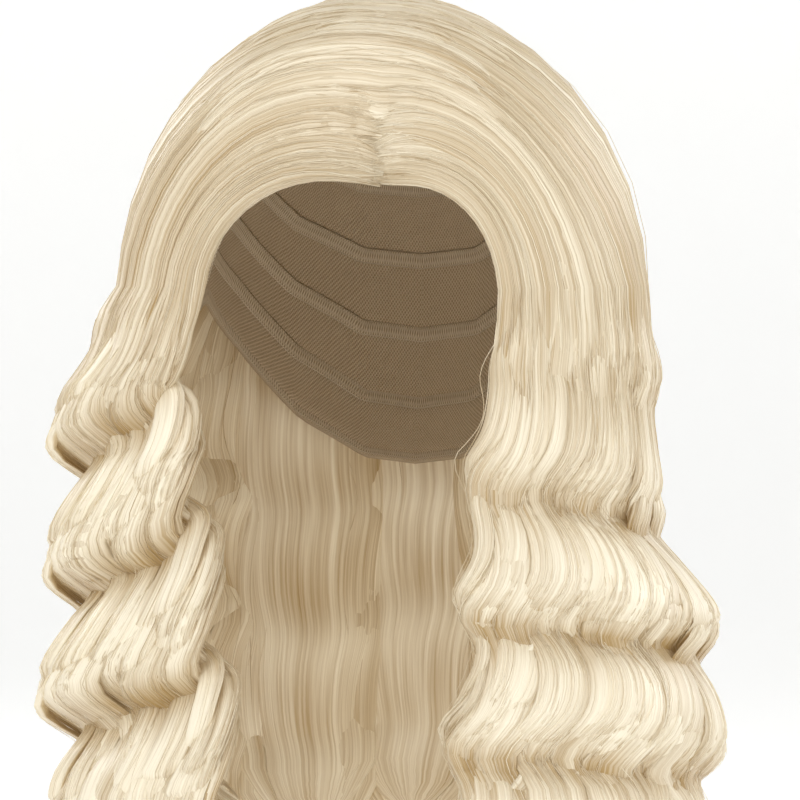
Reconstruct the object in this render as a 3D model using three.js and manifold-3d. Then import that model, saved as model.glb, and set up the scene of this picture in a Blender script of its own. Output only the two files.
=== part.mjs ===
// Long flapper wig: a soft net cap that carries wavy locks of long hair, parted at the
// front and falling to the chest and the back. Millimetres, +Z up, the face side looks to
// -Y and the wearer's left is +X. The origin is the top of the cap's hollow, where the
// crown of the head touches it.
import * as THREE from 'three';
import { mergeVertices } from 'three/addons/utils/BufferGeometryUtils.js';
import Module from 'manifold-3d';

const wasm = await Module();
wasm.setup();

// Head that the cap fits
const headHalfWidth = 76;
const headHalfLength = 96;
const headCrownHeight = 90;
const neckShare = 0.72;
const neckStart = 200;

// Net cap
const capWall = 1.5;
const capSides = 32;
const capRows = 5;
const seatGap = 0.3;

// Height of the hair over the cap
const crownHair = 29.5;
const sideHair = 27;
const frontHair = 24;
const backHair = 27;
const hairlineShare = 0.3;
const hairlineGrowth = 0.45;

// Fall of the hair
const fallLength = 352;
const fallFlare = 30;
const tipCurl = 12;

// Parting
const partFront = 80;
const partBack = 12;
const partShift = 12;

// Locks
const lockWidth = 46;
const lockThickness = 22;
const crownRows = 5;
const fallRows = 26;
const rootThickening = 0.45;

// Waves
const wavePitch = 58;
const waveBulge = 9;
const waveSway = 15;
const waveLean = 0.4;
const sideTurn = 95;

const hangLength = fallLength - headCrownHeight;

// A short table is read into rows whose fields carry the column names
function table(columns, rows) {
  const names = columns.split(' ');
  return rows.map((row) => Object.fromEntries(names.map((name, i) => [name, row[i]])));
}

// Cap rim: how far below the crown the edge lies at each turn away from the face, as a
// share of the crown height
const rim = table('turn drop', [
  [0, 0.42],
  [20, 0.445],
  [35, 0.52],
  [47, 0.72],
  [58, 0.98],
  [68, 1.1],
  [78, 1.12],
  [92, 1.08],
  [112, 1.3],
  [136, 1.64],
  [160, 1.83],
  [180, 1.86],
]);

// Outline of the fall: outward shares of fallFlare at shares of the hanging length
const outline = table('down right left front back', [
  [0.0, 0.22, 0.22, 0.0, 0.0],
  [0.05, 0.52, 0.25, -0.15, 0.12],
  [0.15, 0.88, 0.32, -0.35, 0.15],
  [0.27, 0.9, 0.22, -0.45, 0.2],
  [0.34, 0.88, 0.2, -0.35, 0.2],
  [0.44, 0.88, 0.6, -0.1, 0.2],
  [0.53, 0.95, 1.0, 0.1, 0.25],
  [0.65, 1.0, 1.1, 0.2, 0.25],
  [0.76, 1.0, 1.15, 0.3, 0.2],
  [1.0, 0.85, 1.0, 0.4, 0.1],
]);

// Waves of the two sides: crest is how far below the ear line the first outward crest
// lies, rise how far the waves take to grow, both as shares of the pitch; spin is the way
// in which the locks wind, and slant how much earlier the locks near the face swing
const waves = {
  left: { pitch: 0.9, crest: 0.62, rise: 2.6, bulge: 0.7, sway: 0.7, spin: -1, slant: 1.0 },
  right: { pitch: 0.95, crest: 1.22, rise: 1.5, bulge: 1.15, sway: 1.0, spin: 1, slant: 1.7 },
};

// Locks of one side. root is the share along the parting, or for the under-locks the
// height angle on the cap; turn is the direction in which the lock falls, drift how far
// it wanders from it; layer is the depth in lock thicknesses below the outer face
const locks = table('group from sides root turn drift layer width thick end bulge sway lag', [
  ['front_hair', 'parting', 6, 0.0, 47, -20, 0.0, 0.62, 0.6, 0.95, 0.9, 0.5, -0.4],
  ['front_hair', 'parting', 7, 0.16, 60, -10, 0.0, 0.88, 0.9, 0.94, 1.0, 0.75, -0.26],
  ['side_hair', 'parting', 6, 0.32, 78, -4, 0.0, 1.05, 1.0, 0.98, 1.0, 0.9, -0.12],
  ['side_hair', 'parting', 6, 0.5, 99, 0, 0.0, 1.1, 1.0, 0.97, 0.9, 0.8, 0.0],
  ['back_hair', 'parting', 5, 0.68, 121, 0, 0.0, 1.3, 1.0, 1.0, 0.75, 0.7, 0.1],
  ['back_hair', 'parting', 5, 0.85, 145, 0, 0.0, 1.3, 1.0, 0.98, 0.6, 0.6, 0.18],
  ['centre_hair', 'parting', 5, 1.0, 168, 0, 0.0, 1.3, 1.0, 1.0, 0.45, 0.35, 0.25],
  ['nape_hair', 'cap', 5, 24, 64, -24, 0.75, 1.0, 0.6, 0.93, 0.6, 0.6, 0.2],
  ['nape_hair', 'cap', 5, 20, 104, -4, 0.8, 1.3, 0.6, 0.96, 0.4, 0.5, 0.3],
  ['nape_hair', 'cap', 5, 10, 152, 0, 0.8, 1.5, 0.6, 0.97, 0.2, 0.25, 0.4],
]);

// Soft step from 0 to 1
function ease(x) {
  const c = Math.min(1, Math.max(0, x));
  return c * c * (3 - 2 * c);
}

// Value of a table column, eased between its rows
function read(rows, key, column, x) {
  if (x <= rows[0][key]) return rows[0][column];
  for (let i = 1; i < rows.length; i += 1) {
    const [a, b] = [rows[i - 1], rows[i]];
    if (x <= b[key]) return a[column] + (b[column] - a[column]) * ((x - a[key]) / (b[key] - a[key]));
  }
  return rows[rows.length - 1][column];
}

// Point of the head's form: turn away from the face and tilt away from the crown in
// radians, and a distance out from the skin
function headPoint(turn, tilt, out) {
  const c = Math.cos(tilt);
  const back = (1 - Math.cos(turn)) / 2;
  const taper = 0.06 + 0.2 * back * back + 0.04 * Math.sin(turn) ** 2;
  const k = c > 0 ? Math.sin(tilt) : 1 - taper * c * c;
  return new THREE.Vector3(
    (headHalfWidth + out) * k * Math.sin(turn),
    -(headHalfLength + out) * k * Math.cos(turn),
    (headCrownHeight + out) * c - headCrownHeight,
  );
}

// Move every corner of a geometry by a function of its place
function bend(geometry, move) {
  const place = geometry.getAttribute('position');
  const v = new THREE.Vector3();
  for (let i = 0; i < place.count; i += 1) {
    v.fromBufferAttribute(place, i);
    const to = move(v);
    place.setXYZ(i, to.x, to.y, to.z);
  }
  return geometry;
}

// Welded geometry to a solid and back
function toSolid(geometry) {
  geometry.deleteAttribute('normal');
  geometry.deleteAttribute('uv');
  const welded = mergeVertices(geometry, 1e-4);
  const mesh = new wasm.Mesh({
    numProp: 3,
    vertProperties: new Float32Array(welded.getAttribute('position').array),
    triVerts: new Uint32Array(welded.getIndex().array),
  });
  mesh.merge();
  return new wasm.Manifold(mesh);
}

// The main body of a cut solid, without crumbs
function mainBody(solid) {
  const bodies = solid.decompose();
  return bodies.reduce((best, one) => (one.volume() > best.volume() ? one : best));
}

// Net cap: a unit ball folded in at its equator, so that its upper half is the outside
// of the cap and its lower half the inside; grow thickens it all round
function capSolid(grow) {
  const last = 2 * capRows + 1;
  const ball = new THREE.SphereGeometry(1, capSides, last);
  return toSolid(bend(ball, (v) => {
    const row = Math.round((Math.acos(Math.min(1, Math.max(-1, v.y))) / Math.PI) * last);
    const outside = row <= capRows;
    const share = (outside ? row : last - row) / capRows;
    const turn = Math.atan2(v.x, v.z);
    const drop = read(rim, 'turn', 'drop', Math.abs(THREE.MathUtils.radToDeg(turn)));
    const tilt = Math.acos(1 - drop) * share * (1 + grow / headCrownHeight);
    return headPoint(turn, tilt, outside ? capWall + grow : -grow);
  }));
}

// Space for the head and the neck, kept clear of hair
function headSpace() {
  const rows = 18;
  const headRows = 14;
  const ball = new THREE.SphereGeometry(1, 32, rows);
  return toSolid(bend(ball, (v) => {
    const row = Math.round((Math.acos(Math.min(1, Math.max(-1, v.y))) / Math.PI) * rows);
    const turn = Math.atan2(v.x, v.z);
    const out = capWall - seatGap;
    if (row <= headRows) return headPoint(turn, (row / headRows) * 2.5, out);
    const share = row === rows ? 0 : neckShare;
    const low = row === headRows + 1 ? -neckStart : -fallLength * 1.2;
    const drop = row >= rows - 1 ? low : low * (row === headRows + 1 ? 1 : 0.75);
    return new THREE.Vector3(
      headHalfWidth * share * Math.sin(turn),
      -headHalfLength * share * Math.cos(turn),
      drop,
    );
  }));
}

// Middle line of a lock at share s of its way, before the waves: over the crown from the
// root to the ear line, then hanging. Gives the place and the outward direction.
const crownShare = crownRows / (crownRows + fallRows);

function lockThick(lock, s) {
  const root = 1 + rootThickening * (1 - ease(s / (0.8 * crownShare)));
  return lockThickness * lock.thick * (lock.from === 'parting' ? root : 1) * (1 - 0.3 * ease((s - 0.7) / 0.3));
}

function lockLine(lock, side, s) {
  const turn = THREE.MathUtils.degToRad(lock.turn);
  const down = new THREE.Vector3(Math.sin(turn), -Math.cos(turn), 0);
  const root = down.clone();
  let lift = 1;
  if (lock.from === 'parting') {
    const y = -partFront + (partFront + partBack) * lock.root;
    const x = partShift * (1 - lock.root) * (side === 'left' ? 1 : -1);
    root.set(x / headHalfWidth, y / headHalfLength, 0);
    root.z = Math.sqrt(Math.max(0, 1 - root.lengthSq()));
    lift = hairlineShare + (1 - hairlineShare) * ease(lock.root / 0.3);
  } else {
    const height = THREE.MathUtils.degToRad(lock.root);
    root.multiplyScalar(Math.cos(height));
    root.z = Math.sin(height);
  }
  const rest = capWall + seatGap - lock.layer * lockThickness - lockThick(lock, s) / 2;
  if (s <= crownShare) {
    const t = s / crownShare;
    const height = Math.asin(root.z) * 0.95;
    const over = down.clone().multiplyScalar(Math.cos(height));
    over.z = Math.sin(height);
    const d = root.clone().multiplyScalar((1 - t) ** 2);
    d.addScaledVector(over, 2 * t * (1 - t));
    d.addScaledVector(down, t * t);
    d.normalize();
    const grown = lift + (1 - lift) * t * hairlineGrowth;
    const ahead = d.y < 0 ? frontHair : backHair;
    const flare = fallFlare * outline[0][side] * t * t;
    const place = new THREE.Vector3(
      (headHalfWidth + rest + sideHair * grown + flare) * d.x,
      (headHalfLength + rest + ahead * grown) * d.y,
      (headCrownHeight + rest + crownHair * grown) * d.z - headCrownHeight,
    );
    const out = new THREE.Vector3(d.x / headHalfWidth, d.y / headHalfLength, d.z / headCrownHeight);
    return { place, out: out.normalize(), hang: 0 };
  }
  const grown = lift + (1 - lift) * hairlineGrowth;
  const hang = ((s - crownShare) / (1 - crownShare)) * (fallLength * lock.end - headCrownHeight);
  const f = hang / hangLength;
  const az = THREE.MathUtils.degToRad(lock.turn + lock.drift * ease(f * 1.2));
  const front = Math.cos(az) > 0;
  const flareX = fallFlare * read(outline, 'down', side, f);
  const flareY = fallFlare * read(outline, 'down', front ? 'front' : 'back', f);
  const rx = headHalfWidth + rest + sideHair * grown + flareX;
  const ry = headHalfLength + rest + (front ? frontHair : backHair) * grown + flareY;
  const place = new THREE.Vector3(rx * Math.sin(az), -ry * Math.cos(az), -headCrownHeight - hang);
  const out = new THREE.Vector3(Math.sin(az) / rx, -Math.cos(az) / ry, 0);
  return { place, out: out.normalize(), hang };
}

// Waves at a turn: each side has its own, and they grow alike towards the back
function waveAt(side, turn) {
  const alike = ease((turn - sideTurn) / (180 - sideTurn)) / 2;
  const [own, other] = side === 'left' ? [waves.left, waves.right] : [waves.right, waves.left];
  const mixed = Object.keys(own).map((name) => [name, own[name] + (other[name] - own[name]) * alike]);
  return { ...Object.fromEntries(mixed), spin: own.spin };
}

// Lock: a unit cylinder laid along the middle line, swung in waves to the side and
// outward, with a flattened section; grow thickens it all round
function lockSolid(lock, side, grow) {
  const rows = crownRows + fallRows;
  const rod = new THREE.CylinderGeometry(1, 1, 1, lock.sides, rows);
  const mirror = side === 'left' ? 1 : -1;
  const wave = waveAt(side, lock.turn);
  const pitch = wavePitch * wave.pitch;
  return toSolid(bend(rod, (v) => {
    const s = 0.5 - v.y;
    const here = lockLine(lock, side, s);
    const before = lockLine(lock, side, Math.max(0, s - 0.01)).place;
    const along = lockLine(lock, side, Math.min(1, s + 0.01)).place.sub(before).normalize();
    const across = new THREE.Vector3().crossVectors(along, here.out).normalize();
    const crest = (wave.crest + wave.slant * lock.lag) * pitch;
    const steady = (2 * Math.PI * (here.hang - crest)) / pitch;
    const phase = steady - waveLean * (Math.cos(steady) - 1);
    const swing = ease(here.hang / (wave.rise * pitch));
    const tip = ease(1 - (1 - s) / 0.16);
    const bulge = swing * waveBulge * wave.bulge * lock.bulge * Math.cos(phase) - tipCurl * tip;
    const sway = swing * waveSway * wave.sway * lock.sway * Math.cos(phase + wave.spin * 1.4);
    const end = Math.sqrt(Math.min(1, Math.max(0.05, (1 - s) / 0.09)));
    const taper = (0.5 + 0.5 * ease(s / 0.3)) * (1 - 0.15 * ease((s - 0.6) / 0.4));
    const half = (lockWidth * lock.width * taper * end) / 2 + grow;
    const deep = (lockThick(lock, s) * end) / 2 + grow;
    const turn = Math.atan2(v.z, v.x);
    const bare = Math.hypot(v.x, v.z) > 0.5 ? 1 : 0;
    const a = Math.sign(Math.cos(turn)) * Math.abs(Math.cos(turn)) ** 0.8 * bare;
    const b = Math.sign(Math.sin(turn)) * Math.abs(Math.sin(turn)) ** 0.8 * bare;
    const place = here.place;
    place.addScaledVector(across, sway - mirror * a * half);
    place.addScaledVector(here.out, bulge + b * deep);
    if (v.y > 0.499 || v.y < -0.499) place.addScaledVector(along, Math.sign(-v.y) * grow);
    place.x *= mirror;
    return place;
  }));
}

// Half space on one side of the parting, ending half a gap short of it
function partingSide(mirror) {
  const size = 3 * fallLength;
  const box = new THREE.BoxGeometry(size, size, size);
  box.translate((mirror * (size + seatGap)) / 2, 0, 0);
  box.rotateZ(Math.atan2(partShift, partFront + partBack));
  box.translate(0, partBack, 0);
  return toSolid(box);
}

const colours = {
  net_cap: '#d9c39a',
  left_front_hair: '#efe3c4',
  right_front_hair: '#ecdfbf',
  left_side_hair: '#e8dab6',
  right_side_hair: '#e6d7b2',
  left_back_hair: '#e2d2ab',
  right_back_hair: '#e0d0a8',
  centre_hair: '#dccba2',
  nape_hair: '#cdb88a',
};

const group = new THREE.Group();
group.name = 'long_flapper_wig';

function addNode(name, solid) {
  const body = solid.getMesh();
  const geometry = new THREE.BufferGeometry();
  geometry.setAttribute('position', new THREE.BufferAttribute(body.vertProperties, 3));
  geometry.setIndex(new THREE.BufferAttribute(body.triVerts, 1));
  geometry.computeVertexNormals();
  const roughness = name === 'net_cap' ? 0.85 : 0.5;
  const material = new THREE.MeshStandardMaterial({ color: colours[name], roughness, metalness: 0 });
  const mesh = new THREE.Mesh(geometry, material);
  mesh.name = name;
  group.add(mesh);
}

addNode('net_cap', capSolid(0));

const head = headSpace().add(capSolid(seatGap));
const halves = { left: partingSide(1), right: partingSide(-1) };

// Locks of one group and side joined to one solid
function joined(name, side, grow) {
  const rows = locks.filter((lock) => lock.group === name);
  return wasm.Manifold.union(rows.map((lock) => lockSolid(lock, side, grow)));
}

// Each later section of hair gives way to the ones that lie over it, and the two sides
// meet at the parting
const taken = { left: head, right: head };
['front_hair', 'side_hair', 'back_hair'].forEach((name) => {
  ['left', 'right'].forEach((side) => {
    const section = joined(name, side, 0).subtract(taken[side]).intersect(halves[side]);
    addNode(`${side}_${name}`, mainBody(section));
    taken[side] = taken[side].add(joined(name, side, seatGap));
  });
});

let over = taken.left.intersect(halves.left).add(taken.right.intersect(halves.right)).add(head);
['centre_hair', 'nape_hair'].forEach((name) => {
  const both = joined(name, 'left', 0).add(joined(name, 'right', 0));
  addNode(name, mainBody(both.subtract(over)));
  over = over.add(joined(name, 'left', seatGap)).add(joined(name, 'right', seatGap));
});

export default group;
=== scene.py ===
# %% [markdown]
# # A long flapper wig, dressed in Blender
# The wig is a soft net cap with long wavy locks. The solids that come with the frame give
# its true size: a cap and eight sections of hair. Blender can grow hair as particles or
# curves, but those aren't meshes, and combing by hand can't be repeated. So each layer is
# worked out from the sizes of the solids: full locks that fill the sections, smooth sheets of
# combed hair over those, and fine strands that lie on the sheets.

# %% Load the frame
import math
from functools import partial
import bmesh
import bpy
import numpy as np
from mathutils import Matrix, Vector


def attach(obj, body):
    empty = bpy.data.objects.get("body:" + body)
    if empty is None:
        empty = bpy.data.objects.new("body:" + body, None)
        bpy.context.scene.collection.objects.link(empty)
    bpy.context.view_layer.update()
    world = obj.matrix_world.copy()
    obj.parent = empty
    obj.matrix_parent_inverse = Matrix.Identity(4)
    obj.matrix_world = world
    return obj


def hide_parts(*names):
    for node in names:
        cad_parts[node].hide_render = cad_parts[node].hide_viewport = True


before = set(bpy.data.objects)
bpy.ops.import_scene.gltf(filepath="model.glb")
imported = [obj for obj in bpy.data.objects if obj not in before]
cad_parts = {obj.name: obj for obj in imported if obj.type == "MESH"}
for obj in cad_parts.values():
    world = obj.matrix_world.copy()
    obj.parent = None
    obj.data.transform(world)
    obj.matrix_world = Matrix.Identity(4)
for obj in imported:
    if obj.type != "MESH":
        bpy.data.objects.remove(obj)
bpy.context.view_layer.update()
MM = 0.001
print("frame loaded:", sorted(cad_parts))

# %% [markdown]
# ## Sizes
# The same named sizes as the solids, in millimetres. Everything below is worked out from
# them, so that each strand lies where its section of hair is. The origin is the top of the
# cap's hollow, the open front looks to -Y, and +X is the left side as worn.

# %% Name the sizes
HEAD_HALF_WIDTH, HEAD_HALF_LENGTH, HEAD_CROWN_HEIGHT = 76.0, 96.0, 90.0
CAP_WALL, SEAT_GAP = 1.5, 0.3
CROWN_HAIR, SIDE_HAIR, FRONT_HAIR, BACK_HAIR = 29.5, 27.0, 24.0, 27.0
HAIRLINE_SHARE, HAIRLINE_GROWTH = 0.3, 0.45
FALL_LENGTH, FALL_FLARE, TIP_CURL = 352.0, 30.0, 12.0
PART_FRONT, PART_BACK, PART_SHIFT = 80.0, 12.0, 12.0
LOCK_WIDTH, LOCK_THICKNESS, ROOT_THICKENING = 46.0, 22.0, 0.45
WAVE_PITCH, WAVE_BULGE, WAVE_SWAY, WAVE_LEAN = 58.0, 9.0, 15.0, 0.4
SIDE_TURN = 95.0
CROWN_SHARE = 5 / 31
HANG_LENGTH = FALL_LENGTH - HEAD_CROWN_HEIGHT
SIDES = {"left": 1.0, "right": -1.0}
print("the hair hangs", HANG_LENGTH, "mm below the ear line")

# %% [markdown]
# ## Tables
# Short tables say how the hair falls. The rim table gives the cap's edge, the outline table
# how far the fall stands out at each height, and the lock tables one row for each lock of a
# side. Lengths are shares of the named sizes.

# %% Write the tables
def table(columns, rows):
    """Rows of numbers as one array for each named column."""
    return {name: np.array([row[i] for row in rows]) for i, name in enumerate(columns.split())}


rim = table("turn drop", [
    (0, 0.42), (20, 0.445), (35, 0.52), (47, 0.72), (58, 0.98), (68, 1.1),
    (78, 1.12), (92, 1.08), (112, 1.3), (136, 1.64), (160, 1.83), (180, 1.86),
])
outline = table("down right left front back", [
    (0.0, 0.22, 0.22, 0.0, 0.0),
    (0.05, 0.52, 0.25, -0.15, 0.12),
    (0.15, 0.88, 0.32, -0.35, 0.15),
    (0.27, 0.9, 0.22, -0.45, 0.2),
    (0.34, 0.88, 0.2, -0.35, 0.2),
    (0.44, 0.88, 0.6, -0.1, 0.2),
    (0.53, 0.95, 1.0, 0.1, 0.25),
    (0.65, 1.0, 1.1, 0.2, 0.25),
    (0.76, 1.0, 1.15, 0.3, 0.2),
    (1.0, 0.85, 1.0, 0.4, 0.1),
])
waves = {
    "left": {"pitch": 0.9, "crest": 0.62, "rise": 2.6, "bulge": 0.7, "sway": 0.7,
             "spin": -1, "slant": 1.0},
    "right": {"pitch": 0.95, "crest": 1.22, "rise": 1.5, "bulge": 1.15, "sway": 1.0,
              "spin": 1, "slant": 1.7},
}
top_locks = table("root turn drift layer width thick end bulge sway lag", [
    (0.0, 47, -20, 0.0, 0.62, 0.6, 0.95, 0.9, 0.5, -0.4),
    (0.16, 60, -10, 0.0, 0.88, 0.9, 0.94, 1.0, 0.75, -0.26),
    (0.32, 78, -4, 0.0, 1.05, 1.0, 0.98, 1.0, 0.9, -0.12),
    (0.5, 99, 0, 0.0, 1.1, 1.0, 0.97, 0.9, 0.8, 0.0),
    (0.68, 121, 0, 0.0, 1.3, 1.0, 1.0, 0.75, 0.7, 0.1),
    (0.85, 145, 0, 0.0, 1.3, 1.0, 0.98, 0.6, 0.6, 0.18),
    (1.0, 168, 0, 0.0, 1.3, 1.0, 1.0, 0.45, 0.35, 0.25),
])
under_locks = table("root turn drift layer width thick end bulge sway lag", [
    (24, 64, -24, 0.75, 1.0, 0.6, 0.93, 0.6, 0.6, 0.2),
    (20, 104, -4, 0.8, 1.3, 0.6, 0.96, 0.4, 0.5, 0.3),
    (10, 152, 0, 0.8, 1.5, 0.6, 0.97, 0.2, 0.25, 0.4),
])
print("locks a side:", len(top_locks["root"]), "from the parting")
print("and under them:", len(under_locks["root"]))

# %% [markdown]
# ## Sums on whole arrays
# A thousand strands would take minutes, if each point were worked out in a loop. The numpy
# library does the same sum on a whole array at once, so three small helpers are written for
# arrays: a soft step, vectors of length 1, and vectors stacked from their parts.

# %% Write the helpers for arrays
def ease(x):
    """Soft step from 0 to 1."""
    c = np.clip(x, 0.0, 1.0)
    return c * c * (3 - 2 * c)


def unit(v):
    """Vectors of length 1 along the last axis."""
    return v / np.maximum(np.linalg.norm(v, axis=-1, keepdims=True), 1e-9)


def vectors(x, y, z):
    """Three arrays stacked to vectors."""
    return np.stack(np.broadcast_arrays(x, y, z), axis=-1)


print("a soft step goes", ease(np.linspace(0, 1, 5)))

# %% [markdown]
# ## The way a lock takes
# A lock is combed from the parting over the crown to the ear line, and hangs from there. A
# curve drawn by hand would do for one lock, but not for every strand between two locks. So
# the way is worked out in two parts: over the crown it bends smoothly between directions on
# the cap's form, and in the fall it keeps to an oval that widens as the outline table says.

# %% Find the root of a lock
CROWN_STOOP = 0.95


def thickness(lock, s):
    """How thick a lock is at share s of its way."""
    root = 1 + lock["rooted"] * ROOT_THICKENING * (1 - ease(s / (0.8 * CROWN_SHARE)))
    return LOCK_THICKNESS * lock["thick"] * root * (1 - 0.3 * ease((s - 0.7) / 0.3))


def root_of(lock, side, turn):
    """Direction in which a lock starts, and the share of the hair's full height there."""
    if lock["rooted"]:
        y = (-PART_FRONT + (PART_FRONT + PART_BACK) * lock["root"]) / HEAD_HALF_LENGTH
        x = PART_SHIFT * (1 - lock["root"]) * SIDES[side] / HEAD_HALF_WIDTH
        lift = HAIRLINE_SHARE + (1 - HAIRLINE_SHARE) * ease(lock["root"] / 0.3)
        return vectors(x, y, np.sqrt(np.maximum(0.0, 1 - x * x - y * y))), lift
    height = np.radians(lock["root"])
    flat = np.cos(height)
    return vectors(np.sin(turn) * flat, -np.cos(turn) * flat, np.sin(height)), 1.0


print("depth of a lock at its root:", LOCK_THICKNESS * (1 + ROOT_THICKENING), "mm")

# %% Lay the middle line of a lock
def over_crown(lock, side, s, turn, root, lift, rest):
    """Places and outward directions from the root to the ear line."""
    t = np.clip(s / CROWN_SHARE, -0.2, 1)
    height = np.arcsin(root[..., 2]) * CROWN_STOOP
    ahead = -np.cos(turn) * np.cos(height)
    ahead = ahead + lock.get("comb", 0.0) * (root[..., 1] - ahead)
    over = vectors(np.sin(turn) * np.cos(height), ahead, np.sin(height))
    down = vectors(np.sin(turn), -np.cos(turn), 0.0)
    tt = t[..., None]
    d = unit(root * (1 - tt) ** 2 + over * 2 * tt * (1 - tt) + down * tt ** 2)
    grown = lift + (1 - lift) * t * HAIRLINE_GROWTH
    ahead = np.where(d[..., 1] < 0, FRONT_HAIR, BACK_HAIR)
    flare = FALL_FLARE * outline[side][0] * t * t
    place = vectors(
        (HEAD_HALF_WIDTH + rest + SIDE_HAIR * grown + flare) * d[..., 0],
        (HEAD_HALF_LENGTH + rest + ahead * grown) * d[..., 1],
        (HEAD_CROWN_HEIGHT + rest + CROWN_HAIR * grown) * d[..., 2] - HEAD_CROWN_HEIGHT,
    )
    return place, unit(d / np.array([HEAD_HALF_WIDTH, HEAD_HALF_LENGTH, HEAD_CROWN_HEIGHT]))


def in_fall(lock, side, s, lift, rest):
    """Places, outward directions and hanging depths below the ear line."""
    fall = np.clip((s - CROWN_SHARE) / (1 - CROWN_SHARE), 0, 1.1)
    hang = fall * (FALL_LENGTH * lock["end"] - HEAD_CROWN_HEIGHT)
    f = hang / HANG_LENGTH
    az = np.radians(lock["turn"] + lock["drift"] * ease(f * 1.2))
    front = np.cos(az) > 0
    wide = FALL_FLARE * np.interp(f, outline["down"], outline[side])
    ahead = np.where(front, np.interp(f, outline["down"], outline["front"]),
                     np.interp(f, outline["down"], outline["back"])) * FALL_FLARE
    grown = lift + (1 - lift) * HAIRLINE_GROWTH
    rx = HEAD_HALF_WIDTH + rest + SIDE_HAIR * grown + wide
    ry = HEAD_HALF_LENGTH + rest + np.where(front, FRONT_HAIR, BACK_HAIR) * grown + ahead
    place = vectors(rx * np.sin(az), -ry * np.cos(az), -HEAD_CROWN_HEIGHT - hang)
    return place, unit(vectors(np.sin(az) / rx, -np.cos(az) / ry, 0.0)), hang


def middle_line(lock, side, s):
    """Places, outward directions and hanging depths, before the waves."""
    turn = np.radians(lock["turn"])
    root, lift = root_of(lock, side, turn)
    rest = CAP_WALL + SEAT_GAP - lock["layer"] * LOCK_THICKNESS - thickness(lock, s) / 2
    crown, crown_out = over_crown(lock, side, s, turn, root, lift, rest)
    fall, fall_out, hang = in_fall(lock, side, s, lift, rest)
    on_crown = (s <= CROWN_SHARE)[..., None]
    return np.where(on_crown, crown, fall), np.where(on_crown, crown_out, fall_out), hang


def table_row(rows, i, rooted):
    """One row of a lock table."""
    return {name: column[i] for name, column in rows.items()} | {"rooted": rooted}


ear_lock = table_row(top_locks, 2, 1)
line = middle_line(ear_lock, "left", np.linspace(0, 1, 5))[0]
print("a side lock runs from", line[0].round(), "to", line[-1].round())

# %% [markdown]
# ## Waves
# Hair comes off a hot roller as a winding band, not as a flat zigzag. So each wave moves the
# lock outward as a bulge and sideways as a sway, about a quarter turn apart. Neighbours
# follow a little earlier or later, and the waves of both sides grow alike at the back.

# %% Add the waves
# CREST_LEAD shifts where a wave's painted highlight falls along it
SWAY_LEAD, CREST_LEAD = 1.4, 0.5
NEARBY = 0.008


def wave_at(side, turn):
    """Waves at a turn: each side has its own, and they grow alike towards the back."""
    alike = ease((turn - SIDE_TURN) / (180 - SIDE_TURN)) / 2
    own, other = waves[side], waves["right" if side == "left" else "left"]
    blend = {name: own[name] + (other[name] - own[name]) * alike for name in own}
    return blend | {"spin": own["spin"]}


def lay_lock(lock, side, s):
    """Waved places of a lock, directions across and outward, half width, half thickness, and
    nearness to a crest for painted light and shade.
    """
    place, out, hang = middle_line(lock, side, s)
    before = middle_line(lock, side, s - NEARBY)[0]
    after = middle_line(lock, side, np.minimum(s + NEARBY, 1.0))[0]
    across = unit(np.cross(unit(after - before), out))
    wave = wave_at(side, lock["turn"])
    pitch = WAVE_PITCH * wave["pitch"]
    crest = (wave["crest"] + wave["slant"] * lock["lag"]) * pitch
    steady = 2 * np.pi * (hang - crest) / pitch
    phase = steady - WAVE_LEAN * (np.cos(steady) - 1)
    swing = ease(hang / (wave["rise"] * pitch))
    tip = ease(1 - (1 - s) / 0.16)
    bulge = swing * WAVE_BULGE * wave["bulge"] * lock["bulge"] * np.cos(phase) - TIP_CURL * tip
    lead = phase + wave["spin"] * SWAY_LEAD
    sway = swing * WAVE_SWAY * wave["sway"] * lock["sway"] * np.cos(lead)
    taper = (0.5 + 0.5 * ease(s / 0.3)) * (1 - 0.15 * ease((s - 0.6) / 0.4))
    end = np.sqrt(np.clip((1 - s) / 0.09, 0.05, 1.0))
    half = LOCK_WIDTH * lock["width"] * taper * end / 2
    deep = thickness(lock, s) * end / 2
    place = place + across * sway[..., None] + out * bulge[..., None]
    mirror = np.array([SIDES[side], 1.0, 1.0])
    # nearness to a crest only steers painted light: a painted highlight on crests and painted shade
    # in troughs
    crest = swing * np.cos(phase + CREST_LEAD)
    return place * mirror, across * mirror, out * mirror, half, deep, crest


waved = lay_lock(ear_lock, "left", np.linspace(0, 1, 40))[0]
print("the waves move it by up to", np.ptp(waved[20:], axis=0).round(), "mm in its lower half")

# %% [markdown]
# ## The face of the hair
# Sheets and strands both lie on the outer face of the locks. They could be wrapped on with a
# modifier, but that tangles where locks overlap, so their places are worked out as well. A
# place is given by how far down it is and how far round, in millimetres from the middle of
# the front lock towards the back. Below zero the face bends round the front lock to its
# inner side, and past the last lock it bends inward at the back.

# %% Find places on the face of the hair
ROUND_SIDE, ROUND_EDGE, ROUND_UNDER = 220.0, 18.0, 16.0
SECTION_POWER = 0.8


def rounded(angle):
    """A flattened round section, as the cosine and sine of a fuller curve."""
    c, s = np.cos(angle), np.sin(angle)
    return np.sign(c) * np.abs(c) ** SECTION_POWER, np.sign(s) * np.abs(s) ** SECTION_POWER


def between_rows(root):
    """Rows blended for any share along the parting."""
    row = {name: np.interp(root, top_locks["root"], column) for name, column in top_locks.items()}
    return row | {"rooted": 1}


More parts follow.
